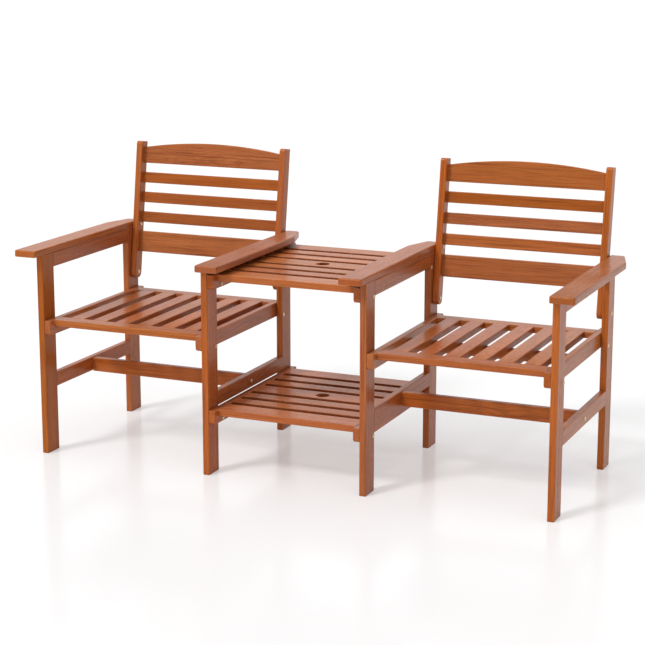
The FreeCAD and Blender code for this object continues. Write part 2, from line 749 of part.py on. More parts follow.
def dowel(kind, name, x, y, z, direction, nodes, length="dowel_length", bite="dowel_length / 2"):
    """A dowel across a joint face at x, y, z; bite is how far it reaches behind the face."""
    shift = {
        "+X": (" - (%s)" % bite, "", ""),
        "-X": (" + (%s)" % bite, "", ""),
        "+Y": ("", " - (%s)" % bite, ""),
        "+Z": ("", "", " - (%s)" % bite),
    }[direction]
    start = (x + shift[0], y + shift[1], z + shift[2])
    pin = rod(name, "dowel_diameter / 2", length, *start, direction)
    DOWELS[kind].append(pin)
    spare = {
        "+X": (" - dowel_end_gap", "", ""),
        "-X": (" + dowel_end_gap", "", ""),
        "+Y": ("", " - dowel_end_gap", ""),
        "+Z": ("", "", " - dowel_end_gap"),
    }[direction]
    begin = (start[0] + spare[0], start[1] + spare[1], start[2] + spare[2])
    radius = "dowel_diameter / 2 + dowel_clearance"
    hole = rod(name + "_hole", radius, length + " + 2 * dowel_end_gap", *begin, direction)
    for node in nodes:
        drill(node, hole)


def frame_dowels(frame):
    """Two dowels at each end of the arm rail and stretcher, and one on top of each leg."""
    name = frame["name"]
    x = frame["x"] + " + leg_thickness / 2"
    ends = {"front": "rail_start_y", "rear": "rear_leg_y"}
    levels = {
        "arm_rail": ("leg_height - arm_rail_height", "arm_rail_height"),
        "side_stretcher": ("stretcher_top - stretcher_height", "stretcher_height"),
    }
    for end, y in ends.items():
        for member, (low, height) in levels.items():
            for number, z in enumerate(
                (low + " + rail_dowel_inset", low + " + " + height + " - rail_dowel_inset"), start=1
            ):
                label = "%s_%s_%s_dowel_%d" % (name, member, end, number)
                nodes = (name + "_" + member, name + "_" + end + "_leg")
                dowel("frame_dowels", label, x, y, z, "+Y", nodes)
    tops = {"front": "set_y + leg_depth / 2", "rear": "rear_leg_y + leg_depth / 2"}
    for end, y in tops.items():
        label = "%s_%s_leg_top_dowel" % (name, end)
        nodes = (name + "_" + end + "_leg", name + "_arm_rest")
        reach = "dowel_length - arm_thickness + arm_dowel_cover"
        dowel("frame_dowels", label, x, y, "leg_height", "+Z", nodes, bite=reach)


def panel_joint(name, x, spots, z, direction, nodes):
    """Short dowels from a cleat into the ends of the slats or rails beside it."""
    for number, y in enumerate(spots, start=1):
        label = "%s_%d" % (name, number)
        dowel(
            "panel_dowels",
            label,
            x,
            y,
            z,
            direction,
            nodes,
            length="cleat_dowel_length",
            bite="cleat_dowel_bite",
        )


def seat_dowels(prefix, left, right):
    """Dowels from the rails and the batten to the cleats, and from the slats to the rails."""
    inside = left["x"] + " + leg_thickness + cleat_thickness"
    far = inside + " + seat_inside"
    z = "seat_height - dowel_panel_drop"
    batten_z = "seat_batten_foot + seat_batten_height / 2"
    members = {
        "front_rail": ("panel_front_y", "seat_front_rail_width", z, "_rails"),
        "rear_rail": ("seat_rear_rail_y", "seat_rear_rail_width", z, "_rails"),
        "batten": ("seat_batten_y", "seat_batten_width", batten_z, "_batten"),
    }
    for member, (y, width, level, node) in members.items():
        spots = (y + " + rail_dowel_inset", y + " + " + width + " - rail_dowel_inset")
        name = prefix + "_" + member
        joined = prefix + node
        panel_joint(name + "_left_dowel", inside, spots, level, "+X", (joined, prefix + "_left_cleat"))
        panel_joint(name + "_right_dowel", far, spots, level, "-X", (joined, prefix + "_right_cleat"))
    for index in range(SEAT_SLATS):
        step = " + %d * seat_gap + %d * seat_slat_width" % (index + 1, index)
        x = inside + step + " + seat_slat_width / 2"
        nodes = (prefix + "_slats", prefix + "_rails")
        name = "%s_slat_%d" % (prefix, index + 1)
        dowel("panel_dowels", name + "_front_dowel", x, "seat_slat_y", z, "+Y", nodes)
        dowel("panel_dowels", name + "_rear_dowel", x, "seat_rear_rail_y", z, "+Y", nodes)


def table_dowels(prefix, top):
    """Dowels from the cleats into both ends of each slat, two in the wide ones."""
    z = top + " - dowel_panel_drop"
    for index, kind in enumerate(TABLE_SLATS):
        y = "table_slat_%d_y" % index
        width = kind + "_slat_width"
        if kind == "narrow":
            spots = (y + " + " + width + " / 2",)
        else:
            spots = (y + " + wide_dowel_inset", y + " + " + width + " - wide_dowel_inset")
        slat = prefix + ("_centre_slat" if kind == "centre" else "_%s_slats" % kind)
        name = "%s_slat_%d" % (prefix, index + 1)
        panel_joint(name + "_left_dowel", "table_slat_x", spots, z, "+X", (slat, prefix + "_left_cleat"))
        far = "table_slat_x + table_inside"
        panel_joint(name + "_right_dowel", far, spots, z, "-X", (slat, prefix + "_right_cleat"))


def back_dowels(prefix, left):
    """Dowels from the stiles into the crest, the slats and the lower rail."""
    inside = left["x"] + " + leg_thickness + stile_thickness"
    middle = "back_slat_recess + back_slat_thickness / 2"
    members = [
        (prefix + "_back_lower_rail", "back_rail_start + wide_dowel_inset"),
        (prefix + "_back_lower_rail", "back_rail_start + back_rail_height - wide_dowel_inset"),
        (prefix + "_back_crest_rail", "crest_start + rail_dowel_inset"),
        (prefix + "_back_crest_rail", "crest_start + crest_end_height - rail_dowel_inset"),
    ]
    for index in range(BACK_SLATS):
        spot = "back_first_slat + %d * back_pitch + back_slat_height / 2" % index
        members.append((prefix + "_back_slats", spot))
    for number, (node, spot) in enumerate(members, start=1):
        y, z = back_point(spot, middle)
        name = "%s_back_joint_%d" % (prefix, number)
        panel_joint(name + "_left_dowel", inside, (y,), z, "+X", (node, prefix + "_back_left_stile"))
        far = inside + " + back_inside"
        panel_joint(name + "_right_dowel", far, (y,), z, "-X", (node, prefix + "_back_right_stile"))


def build():
    for frame in FRAMES:
        side_frame(frame)
        side = frame["toward_seat"]
        label = "%s_%s_cleat" % (frame["seat"], frame["side"])
        cleat(label, beside(frame, side, "cleat_thickness"), "seat_cleat_foot", "seat_cleat_height")
    for prefix, left in (("left_seat", FRAMES[0]), ("right_seat", FRAMES[2])):
        seat_panel(prefix, left)
        seat_back(prefix, left)
        cross_stretcher(prefix, left)
    for prefix, top, foot in (
        ("table", "table_top_height", "table_cleat_foot"),
        ("shelf", "shelf_top_height", "shelf_cleat_foot"),
    ):
        slat_panel(prefix, top)
        for frame in FRAMES[1:3]:
            side = TABLE_SIDES[frame["name"]]
            label = prefix + ("_left_cleat" if side > 0 else "_right_cleat")
            cleat(label, beside(frame, side, "cleat_thickness"), foot, "table_cleat_height")
            table_bolts(frame, side, foot, prefix, label)
        table_dowels(prefix, top)
    for frame in FRAMES:
        node = "%s_%s_cleat" % (frame["seat"], frame["side"])
        seat_bolts(frame, node)
        back_fixings(frame)
        cross_fixing(frame["seat"], frame)
        frame_dowels(frame)
    for prefix, left, right in (
        ("left_seat", FRAMES[0], FRAMES[1]),
        ("right_seat", FRAMES[2], FRAMES[3]),
    ):
        seat_dowels(prefix, left, right)
        back_dowels(prefix, left)
    for label, members in BOLTS.items():
        keep(label, group(label, members))
    keep("sleeve_nuts", group("sleeve_nuts", SLEEVES))
    keep("back_screws", group("back_screws", SCREWS))
    keep("cross_bolts", group("cross_bolts", CROSS_BOLTS))
    keep("barrel_nuts", group("barrel_nuts", BARRELS))
    for label, members in DOWELS.items():
        keep(label, group(label, members))


def drill_all():
    """Cut the holes of each node, and give the drilled piece the node's own label."""
    for label, holes in HOLES.items():
        base = NODES[label]
        base.Label = label + "_undrilled"
        result = cut(label + "_drilled", base, holes)
        result.Label = label
        NODES[label] = result


build()
drill_all()
doc.recompute()

for thing in doc.Objects:
    if "Invalid" in thing.State or "Error" in thing.State:
        raise RuntimeError("%s failed: %s" % (thing.Label, thing.State))
for label, thing in NODES.items():
    if thing.Shape.isNull() or not thing.Shape.isValid():
        raise RuntimeError(label + " has no valid shape")

os.makedirs("parts", exist_ok=True)
for label, thing in NODES.items():
    thing.Shape.exportStep("parts/%s.step" % label)
print("%d nodes" % len(NODES))
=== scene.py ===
import math

import bmesh
import bpy
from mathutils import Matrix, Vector


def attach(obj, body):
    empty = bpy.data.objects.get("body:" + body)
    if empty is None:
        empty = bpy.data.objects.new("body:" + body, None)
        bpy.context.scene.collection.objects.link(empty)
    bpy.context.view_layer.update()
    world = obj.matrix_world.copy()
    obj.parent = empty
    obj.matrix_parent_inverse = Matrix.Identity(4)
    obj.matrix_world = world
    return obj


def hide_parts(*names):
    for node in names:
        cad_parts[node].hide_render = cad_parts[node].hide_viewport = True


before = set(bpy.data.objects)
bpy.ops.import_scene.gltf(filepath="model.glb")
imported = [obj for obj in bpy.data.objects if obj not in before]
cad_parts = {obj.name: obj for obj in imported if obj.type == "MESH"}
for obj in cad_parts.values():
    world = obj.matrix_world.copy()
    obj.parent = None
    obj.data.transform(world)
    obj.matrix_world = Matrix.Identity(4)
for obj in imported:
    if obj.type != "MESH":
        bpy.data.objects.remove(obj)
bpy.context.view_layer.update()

# Lengths are in metres, colours are linear, and +Y points from the front to the backs of the seats

# Camera, solved from the edges of the boards in the photograph: its angles are in radians, its
# lens and sensor in millimetres
CAMERA_PLACE = (2.0528, -4.7073, 1.5883)
CAMERA_YAW = 0.4113
CAMERA_PITCH = 0.2134
CAMERA_LENS = 99.71
CAMERA_SENSOR = 36.0
CAMERA_SHIFT = (-0.0009, -0.0302)
CAMERA_REACH = 200.0

# A key from the front left, a wide soft lamp overhead and a low fill from the front right. Each has
# a name, an azimuth, an elevation, a strength, a softness and whether reflections show it. Angles
# are in degrees.
LAMPS = (
    ("key", -29.0, 47.0, 1.5, 13.0, True),
    ("overhead", 0.0, 84.0, 0.85, 60.0, True),
    ("fill", 18.0, 14.0, 0.4, 30.0, False),
)

# The room's strength as a light, and in reflections of the camera's side. A reflection turns from
# that side to the backdrop's between these Y parts of its direction.
ROOM_STRENGTH = 0.46
ROOM_BEHIND_CAMERA = 0.6
ROOM_TURN = (-0.3, 0.3)

# The last is the share of plain white that the camera and reflections see in the floor
WHITE = (1.0, 1.0, 1.0, 1.0)
FLOOR_SIZE = 120.0
FLOOR_COLOUR = (0.97, 0.972, 0.974, 1.0)
FLOOR_ROUGHNESS = 0.17
FLOOR_IOR = 1.45
FLOOR_WHITE = 0.33

# The backs lean, and the grain of their boards and stiles leans with them
BACK_LEAN = math.radians(8.1)

# Colours of the stained wood
HEART = (0.440, 0.116, 0.022, 1.0)
PALE = (0.530, 0.156, 0.036, 1.0)
RED = (0.320, 0.070, 0.013, 1.0)
DARK = (0.130, 0.026, 0.005, 1.0)
# Painted shade for joints, recesses and the sides of the slats
PAINTED_SHADE_COLOUR = (0.105, 0.018, 0.003, 1.0)
# Paler edges, partly wear and partly painted highlight
RUBBED_AND_HIGHLIGHT_COLOUR = (0.680, 0.280, 0.090, 1.0)
RAW = (0.620, 0.420, 0.220, 1.0)

# A thin satin oil
SHEEN_LEVEL = 0.2
SHEEN_TINT = (1.0, 0.8, 0.64, 1.0)
COAT = 0.12
COAT_ROUGHNESS = 0.1
GRAIN_DEPTH = 0.0004
GRAIN_STRENGTH = 0.22

# How far apart the patterns of two boards may lie, and what sets the second draw of a board's
# random numbers off from the first
BOARD_SHIFT = 40.0
SECOND_DRAW = 0.37

# Growth rings, about a pith that lies beside or below the board and slopes along it. The trunk
# bends slowly along the board. Late wood grows darker through each ring, then stops.
RINGS_PER_METRE = 210.0
LATE_RISE = (0.5, 0.92)
LATE_FALL = (1.0, 0.95)
PITH_SLOPE = 0.06
PITH_SIDE = 0.06
PITH_DEPTH = (0.025, 0.09)
TRUNK_DRAW = 2.2
TRUNK_BENDS = 3.0
TRUNK_BEND = 0.05
OTHER_BEND = (7.0, 3.0, 5.0)
UNEVEN_RINGS = 90.0
UNEVENNESS = 0.8

# Noises drawn out along the grain. Each has its changes per metre along and across the grain, its
# detail and its roughness.
STREAKS = (1.6, 34.0, 3.0, 0.55)
LINES = (4.0, 290.0, 2.0, 0.6)
FIBRES = (11.0, 620.0, 3.0, 0.6)
PORES = (150.0, 2600.0, 1.0, 0.5)
PATCHES = (3.0, 9.0, 1.0, 0.5)

# Most of a noise lies in this span
NOISE_SPAN = (0.3, 0.7)

# Where a noise starts and stops to change the colour, and its least and most share there
PATCH_STAIN = (0.45, 0.75, 0.0, 0.18)
LINE_STAIN = (0.55, 0.66, 0.0, 0.56)
FIBRE_STAIN = (0.48, 0.7, 0.0, 0.6)
PORE_RANGE = (0.62, 0.72)
PORE_SHARE = 0.4
RING_SHARE = 0.26
END_GRAIN_RANGE = (0.8, 0.97)
END_GRAIN_SHARE = 0.35

# From which to which the boards differ, 0.5 being the plain hue and 1 the plain rest
HUES = (0.496, 0.502)
SATURATIONS = (0.95, 1.04)
SHADES = (0.92, 1.12)

# How much of a dowel's colour is raw wood
RAW_SHARE = 0.75

# Painted shade darkens joints and recesses, and edges are made paler, partly as wear and partly as
# a painted highlight. How open a point is within the reach says how much.
PAINTED_SHADE_REACH = 0.022
PAINTED_SHADE_SHARES = (0.68, 0.3, 0.0, 0.48)
EDGE_REACH = 0.004
EDGE_RANGE = (0.9, 0.45)
EDGE_SHARES = (0.15, 0.5)
OPENNESS_SAMPLES = 6

# Painted shade also lies dark on the sides of the slats, by the axis that these face. The outer
# faces of the table and the shelf, which lie further from the middle than the half depth, get only
# a milder painted shade, redder.
GAP_PAINTED_SHADE = {"X": 0.35, "Y": 0.8}
OUTER_PAINTED_SHADE = 0.5
GAP_MIDDLE_Y = -0.003
GAP_HALF_DEPTH = 0.255
SIDE_FACING = (0.35, 0.85)

# Roughness of the oil, what smears, joints and pores add to it, and how far rings stand out
SATIN = (0.26, 0.36)
SMEARS = (24.0, 3.0, 0.6)
SMEAR_ROUGHNESS = (-0.04, 0.05)
JOINT_ROUGHNESS = 0.3
PORE_ROUGHNESS = 0.15
RING_RELIEF = 0.25

ZINC_DULL = (0.66, 0.52, 0.30, 1.0)
ZINC_BRIGHT = (0.82, 0.72, 0.52, 1.0)
ZINC_PATCHES = (220.0, 3.0, 0.6)
ZINC_DULLNESS = (0.35, 0.7)
ZINC_ROUGHNESS = (0.26, 0.42)
ZINC_MARKS = (2400.0, 1.0)
MARK_ROUGHNESS = 0.08
ZINC_DEPTH = 0.0001
ZINC_STRENGTH = 0.15

# Points that lie nearer than this are one, in a board and in a fastener
BOARD_WELD = 0.00001
SAME_POINT = 0.000001

# The boards of each node are numbered from the next multiple of this
BOARDS_PER_NODE = 100

# Fasteners, all along X: low round heads with a hexagon socket, turned again at the places of the
# plain ones. The dome is shares of the head's height and radius.
TURNED = ("cleat_bolts", "back_bolts", "cross_bolts", "sleeve_nuts", "back_screws")
SEGMENTS = 48
ROUND = 0
HEXAGON = 6
SOCKET_RADIUS = 0.0023
SOCKET_DEPTH = 0.0017
SOCKET_LIP = 0.0003
SOCKET_FACE = 0.0030
HEAD_DOME = ((0.0, 0.66), (0.12, 0.82), (0.34, 0.94), (0.62, 1.0), (0.96, 1.0), (1.0, 0.98))
POINT_CHAMFER = 0.0006
SHARP_ANGLE = math.radians(35.0)

# Shares that tell the parts of a plain fastener apart: the rim of its head from its shank, a
# sleeve with no head from one with a head, and the bore of a sleeve from its outside
RIM_SHARE = 0.97
SLEEVE_SHARE = 0.9
BORE_SHARE = 0.9


class Graph:
    """Short ways to add nodes to a tree and join them."""

    def __init__(self, tree):
        self.tree = tree

    def feed(self, socket, given):
        if isinstance(given, bpy.types.NodeSocket):
            self.tree.links.new(given, socket)
        else:
            socket.default_value = given

    def add(self, kind, inputs=None, **settings):
        made = self.tree.nodes.new(kind)
        for name, setting in settings.items():
            setattr(made, name, setting)
        for name, given in (inputs or {}).items():
            self.feed(made.inputs[name], given)
        return made

    def math(self, operation, *given):
        made = self.add("ShaderNodeMath", dict(enumerate(given)), operation=operation)
        return made.outputs[0]

    def plus(self, first, second):
        return self.math("ADD", first, second)

    def minus(self, first, second):
        return self.math("SUBTRACT", first, second)

    def times(self, first, second):
        return self.math("MULTIPLY", first, second)

    def vector(self, operation, *given):
        made = self.add("ShaderNodeVectorMath", dict(enumerate(given)), operation=operation)
        return made.outputs["Value" if operation == "LENGTH" else "Vector"]

    def scale(self, vector, factor):
        inputs = {0: vector, "Scale": factor}
        return self.add("ShaderNodeVectorMath", inputs, operation="SCALE").outputs[0]

    def join(self, x, y, z):
        return self.add("ShaderNodeCombineXYZ", {"X": x, "Y": y, "Z": z}).outputs[0]

    def split(self, vector):
        return self.add("ShaderNodeSeparateXYZ", {"Vector": vector}).outputs

    def noise(self, vector, scale, detail=2.0, roughness=0.5):
        inputs = {"Vector": vector, "Scale": scale, "Detail": detail, "Roughness": roughness}
        return self.add("ShaderNodeTexNoise", inputs).outputs["Fac"]

    def map_range(self, given, low, high, to_low=0.0, to_high=1.0, smooth=False):
        inputs = {
            "Value": given, "From Min": low, "From Max": high, "To Min": to_low, "To Max": to_high,
        }
        way = "SMOOTHSTEP" if smooth else "LINEAR"
        return self.add("ShaderNodeMapRange", inputs, interpolation_type=way).outputs["Result"]

    def open_share(self, reach, inside=False):
        """How open a point is within a reach; from inside, how far it is from an edge."""
        made = self.add(
            "ShaderNodeAmbientOcclusion",
            {"Distance": reach},
            inside=inside,
            samples=OPENNESS_SAMPLES,
        )
        return made.outputs["AO"]

    def mix(self, factor, first, second):
        inputs = {0: factor, 6: first, 7: second}
        return self.add("ShaderNodeMix", inputs, data_type="RGBA").outputs[2]

    def attribute(self, name):
        return self.add("ShaderNodeAttribute", attribute_name=name).outputs

    def draw(self, number):
        """Three random numbers that belong to a number."""
        inputs = {"W": number}
        made = self.add("ShaderNodeTexWhiteNoise", inputs, noise_dimensions="1D")
        return made.outputs["Color"]


def new_material(name):
    material = bpy.data.materials.new(name)
    material.use_nodes = True
    material.node_tree.nodes.clear()
    return material, Graph(material.node_tree)


# Each board gets a number and its own coordinates, so that no two boards share a pattern

def board_group():
    """A node group that stores each point's board number and its place from the board's middle."""
    group = bpy.data.node_groups.new("board_numbers", "GeometryNodeTree")
    group.interface.new_socket("Geometry", in_out="INPUT", socket_type="NodeSocketGeometry")
    group.interface.new_socket("First", in_out="INPUT", socket_type="NodeSocketInt")
    group.interface.new_socket("Geometry", in_out="OUTPUT", socket_type="NodeSocketGeometry")
    graph = Graph(group)
    shape, first = graph.add("NodeGroupInput").outputs[:2]
    welded = graph.add("GeometryNodeMergeByDistance", {"Geometry": shape, "Distance": BOARD_WELD})
    whole = welded.outputs[0]
    island = graph.add("GeometryNodeInputMeshIsland").outputs["Island Index"]
    position = graph.add("GeometryNodeInputPosition").outputs[0]
    nearest = graph.add("GeometryNodeSampleNearest", {"Geometry": whole}, domain="POINT").outputs[0]

    def sum_of_board(kind, value):
        inputs = {"Value": value, "Group ID": island}
        made = graph.add("GeometryNodeAccumulateField", inputs, data_type=kind, domain="POINT")
        return made.outputs["Total"]

    def at_nearest(kind, value):
        inputs = {"Geometry": whole, "Value": value, "Index": nearest}
        made = graph.add("GeometryNodeSampleIndex", inputs, data_type=kind, domain="POINT")
        return made.outputs[0]

    share = graph.math("DIVIDE", 1.0, sum_of_board("FLOAT", 1.0))
    middle = graph.scale(sum_of_board("FLOAT_VECTOR", position), share)
    stored = (
        ("board", "FLOAT", graph.plus(at_nearest("INT", island), first)),
        (
            "from_middle",
            "FLOAT_VECTOR",
            graph.vector("SUBTRACT", position, at_nearest("FLOAT_VECTOR", middle)),
        ),
    )
    for name, kind, value in stored:
        inputs = {"Geometry": shape, "Name": name, "Value": value}
        made = graph.add("GeometryNodeStoreNamedAttribute", inputs, data_type=kind, domain="POINT")
        shape = made.outputs[0]
    graph.add("NodeGroupOutput", {0: shape})
    return group


def number_boards(piece, group, first):
    modifier = piece.modifiers.new("boards", "NODES")
    modifier.node_group = group
    modifier[group.interface.items_tree["First"].identifier] = first


class Board:
    """A point's place in its board, the way that it faces, and the board's random numbers."""

    def __init__(self, graph, grain, lean):
        self.graph = graph
        self.local = graph.attribute("from_middle")["Vector"]
        normal = graph.add("ShaderNodeTexCoord").outputs["Normal"]
        if lean:
            self.local = self.upright(self.local, lean)
            normal = self.upright(normal, lean)
        x, y, z = graph.split(self.local)
        self.run, self.across, self.deep = {"X": (x, y, z), "Y": (y, x, z), "Z": (z, y, x)}[grain]
        self.normal = dict(zip("XYZ", graph.split(normal)))
        self.end = self.facing(grain)
        number = graph.attribute("board")["Fac"]
        first = graph.draw(number)
        self.pith_side, self.pith_depth, self.shade = graph.split(first)
        second = graph.draw(graph.plus(number, SECOND_DRAW))
        self.saturation, self.slope, self.hue = graph.split(second)
        self.shift = graph.scale(first, BOARD_SHIFT)

    def upright(self, vector, lean):
        inputs = {"Vector": vector, "Angle": lean, "Axis": (1.0, 0.0, 0.0)}
        return self.graph.add("ShaderNodeVectorRotate", inputs).outputs[0]

    def facing(self, axis):
        return self.graph.math("ABSOLUTE", self.normal[axis])

    def pick(self, number, low, high):
        return self.graph.map_range(number, 0.0, 1.0, low, high)

    def drawn(self, along, wide, detail, roughness):
        """A noise that is drawn out along the grain."""
        graph = self.graph
        across = graph.times(self.across, wide)
        deep = graph.times(self.deep, wide)
        stretched = graph.join(graph.times(self.run, along), across, deep)
        return graph.noise(graph.vector("ADD", stretched, self.shift), 1.0, detail, roughness)

    def late_wood(self):
        """One in the dark late part of each growth ring, and zero between."""
        graph = self.graph
        stretched = graph.join(graph.times(self.run, TRUNK_DRAW), self.across, self.deep)
        slow = graph.vector("ADD", stretched, self.shift)
        bends = []
        for place in (slow, graph.vector("ADD", slow, OTHER_BEND)):
            bend = graph.minus(graph.noise(place, TRUNK_BENDS), 0.5)
            bends.append(graph.times(bend, TRUNK_BEND))
        slope = self.pick(self.slope, -PITH_SLOPE, PITH_SLOPE)
        side = self.pick(self.pith_side, -PITH_SIDE, PITH_SIDE)
        depth = self.pick(self.pith_depth, *PITH_DEPTH)
        ring_across = graph.plus(graph.minus(self.across, side), bends[0])
        sloped = graph.plus(self.deep, graph.times(self.run, slope))
        ring_deep = graph.plus(graph.plus(sloped, depth), bends[1])
        reach = graph.vector("LENGTH", graph.join(ring_across, ring_deep, 0.0))
        place = graph.join(reach, self.shade, self.saturation)
        uneven = graph.times(graph.noise(place, UNEVEN_RINGS, 1.0), UNEVENNESS)
        rings = graph.math("FRACT", graph.plus(graph.times(reach, RINGS_PER_METRE), uneven))
        return graph.times(
            graph.map_range(rings, *LATE_RISE), graph.map_range(rings, *LATE_FALL)
        )


def painted_gap_shade(board, gaps, colour):
    """The painted shade on the sides of the slats, and the colour with outer faces painted redder
    as a milder shade.
    """
    graph = board.graph
    facing = board.facing(gaps)
    # Painted shade on the slat sides that face the gaps
    side = graph.map_range(facing, *SIDE_FACING, 0.0, GAP_PAINTED_SHADE[gaps], smooth=True)
    if gaps == "Y":
        y = graph.split(graph.add("ShaderNodeNewGeometry").outputs["Position"])[1]
        away = graph.math("ABSOLUTE", graph.minus(y, GAP_MIDDLE_Y))
        inner = graph.math("LESS_THAN", away, GAP_HALF_DEPTH)
        # Outer faces get a milder painted shade, redder
        outer_shade = graph.map_range(facing, *SIDE_FACING, 0.0, OUTER_PAINTED_SHADE)
        colour = graph.mix(graph.times(outer_shade, graph.minus(1.0, inner)), colour, RED)
        side = graph.times(side, inner)
    return side, colour


def wood(name, grain, lean=0.0, raw=False, gaps="", tone=1.0):
    """Stained hardwood under a thin satin oil. grain is the axis that the boards run along.

    gaps is the axis that the slat sides with painted shade face, and tone makes the wood lighter or
    darker. Raw wood has hardly any stain, and no oil.
    """
    material, graph = new_material(name)
    board = Board(graph, grain, lean)
    late = board.late_wood()
    streaks = board.drawn(*STREAKS)
    lines = board.drawn(*LINES)
    fibres = board.drawn(*FIBRES)
    pores = graph.map_range(board.drawn(*PORES), *PORE_RANGE)
    patches = board.drawn(*PATCHES)

    colour = graph.mix(graph.map_range(streaks, *NOISE_SPAN, smooth=True), HEART, PALE)
    colour = graph.mix(graph.map_range(patches, *PATCH_STAIN, smooth=True), colour, RED)
    colour = graph.mix(graph.times(late, RING_SHARE), colour, DARK)
    colour = graph.mix(graph.map_range(lines, *LINE_STAIN), colour, DARK)
    colour = graph.mix(graph.map_range(fibres, *FIBRE_STAIN), colour, DARK)
    colour = graph.mix(graph.times(pores, PORE_SHARE), colour, DARK)
    cut = graph.map_range(board.end, *END_GRAIN_RANGE)
    colour = graph.mix(graph.times(cut, END_GRAIN_SHARE), colour, RED)
    of_board = {
        "Hue": board.pick(board.hue, *HUES),
        "Saturation": board.pick(board.saturation, *SATURATIONS),
        "Value": board.pick(board.shade, *(shade * tone for shade in SHADES)),
        "Color": colour,
    }
    colour = graph.add("ShaderNodeHueSaturation", of_board).outputs[0]
    if raw:
        colour = graph.mix(RAW_SHARE, colour, RAW)

    # Edges made paler, partly as wear and partly as a painted highlight
    edges = graph.map_range(graph.open_share(EDGE_REACH, inside=True), *EDGE_RANGE)
    rubbed_and_highlight = graph.times(edges, graph.map_range(streaks, *NOISE_SPAN, *EDGE_SHARES))
    colour = graph.mix(rubbed_and_highlight, colour, RUBBED_AND_HIGHLIGHT_COLOUR)
    # Painted shade in joints and recesses, by how open each point is
    painted_shade = graph.map_range(graph.open_share(PAINTED_SHADE_REACH), *PAINTED_SHADE_SHARES, smooth=True)
    if gaps:
        # Painted shade on the sides of the slats joins the painted shade of recesses
        side, colour = painted_gap_shade(board, gaps, colour)
        painted_shade = graph.math("MAXIMUM", painted_shade, side)
    colour = graph.mix(painted_shade, colour, PAINTED_SHADE_COLOUR)

    smears = graph.noise(graph.vector("ADD", board.local, board.shift), *SMEARS)
    rough = graph.map_range(fibres, *NOISE_SPAN, *SATIN)
    rough = graph.plus(rough, graph.map_range(smears, *NOISE_SPAN, *SMEAR_ROUGHNESS))
    rough = graph.plus(rough, graph.times(painted_shade, JOINT_ROUGHNESS))
    rough = graph.plus(rough, graph.times(pores, PORE_ROUGHNESS))
    height = graph.minus(graph.plus(fibres, graph.times(late, RING_RELIEF)), pores)
    grooves = {"Strength": GRAIN_STRENGTH, "Distance": GRAIN_DEPTH, "Height": height}
    surface = {
        "Base Color": colour,
        "Roughness": rough,
        "Normal": graph.add("ShaderNodeBump", grooves).outputs[0],
        "Specular IOR Level": SHEEN_LEVEL,
        "Specular Tint": SHEEN_TINT,
        "Coat Weight": 0.0 if raw else COAT,
        "Coat Roughness": COAT_ROUGHNESS,
    }
    shader = graph.add("ShaderNodeBsdfPrincipled", surface)
    graph.add("ShaderNodeOutputMaterial", {0: shader.outputs[0]})
    return material


def zinc(name):
    """Yellow zinc plate with fine marks and dull patches."""
    material, graph = new_material(name)
    place = graph.add("ShaderNodeTexCoord").outputs["Object"]
    patches = graph.noise(place, *ZINC_PATCHES)
    marks = graph.noise(place, *ZINC_MARKS)
    rough = graph.map_range(patches, *NOISE_SPAN, *ZINC_ROUGHNESS)
    rough = graph.plus(rough, graph.times(marks, MARK_ROUGHNESS))
    scratches = {"Strength": ZINC_STRENGTH, "Distance": ZINC_DEPTH, "Height": marks}
    surface = {
        "Base Color": graph.mix(graph.map_range(patches, *ZINC_DULLNESS), ZINC_DULL, ZINC_BRIGHT),
        "Roughness": rough,
        "Normal": graph.add("ShaderNodeBump", scratches).outputs[0],
        "Metallic": 1.0,
    }
    shader = graph.add("ShaderNodeBsdfPrincipled", surface)
    graph.add("ShaderNodeOutputMaterial", {0: shader.outputs[0]})
    return material


WOODS = {
    "X": wood("wood_along_x", "X", tone=0.88),
    "Y": wood("wood_along_y", "Y", tone=0.93),
    "Z": wood("wood_along_z", "Z", tone=0.93),
    "back": wood("wood_of_backs", "X", lean=BACK_LEAN, tone=0.87),
    "stile": wood("wood_of_stiles", "Z", lean=BACK_LEAN),
    "seat": wood("wood_of_seat_slats", "Y", gaps="X", tone=0.99),
    "slat": wood("wood_of_table_slats", "X", gaps="Y", tone=1.12),
    "dowel": wood("wood_of_dowels", "Y", raw=True),
}
METAL = zinc("yellow_zinc")


def grain_of(node):
    """Which wood a node is made of, by its kind and the way that its boards run."""
    if node.endswith("_dowels"):
        return "dowel"
    if node.endswith("_leg"):
        return "Z"
    if node.endswith("_stile"):
        return "stile"
    if "_back_" in node:
        return "back"
    if node.endswith(("_edge_slats", "_narrow_slats", "_centre_slat")):
        return "slat"
    if node.endswith("_seat_slats"):
        return "seat"
    if node.endswith(("_arm_rest", "_arm_rail", "_side_stretcher", "_cleat")):
        return "Y"
    return "X"


def dress_nodes():
    group = board_group()
    for index, (name, piece) in enumerate(sorted(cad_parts.items())):
        if name in TURNED:
            turn_again(name)
        elif name == "barrel_nuts":
            piece.material_slots[0].material = METAL
        else:
            number_boards(piece, group, index * BOARDS_PER_NODE)
            piece.material_slots[0].material = WOODS[grain_of(name)]


def solids_of(piece):
    """The points of each separate solid in a mesh."""
    mesh = bmesh.new()
    mesh.from_mesh(piece.data)
    bmesh.ops.remove_doubles(mesh, verts=mesh.verts, dist=SAME_POINT)
    waiting = set(mesh.verts)
    solids = []
    while waiting:
        points = []
        reached = [waiting.pop()]
        while reached:
            vertex = reached.pop()
            points.append(vertex.co.copy())
            for edge in vertex.link_edges:
                neighbour = edge.other_vert(vertex)
                if neighbour in waiting:
                    waiting.remove(neighbour)
                    reached.append(neighbour)
        solids.append(points)
    mesh.free()
    return sorted(solids, key=lambda points: tuple(min(points, key=tuple)))


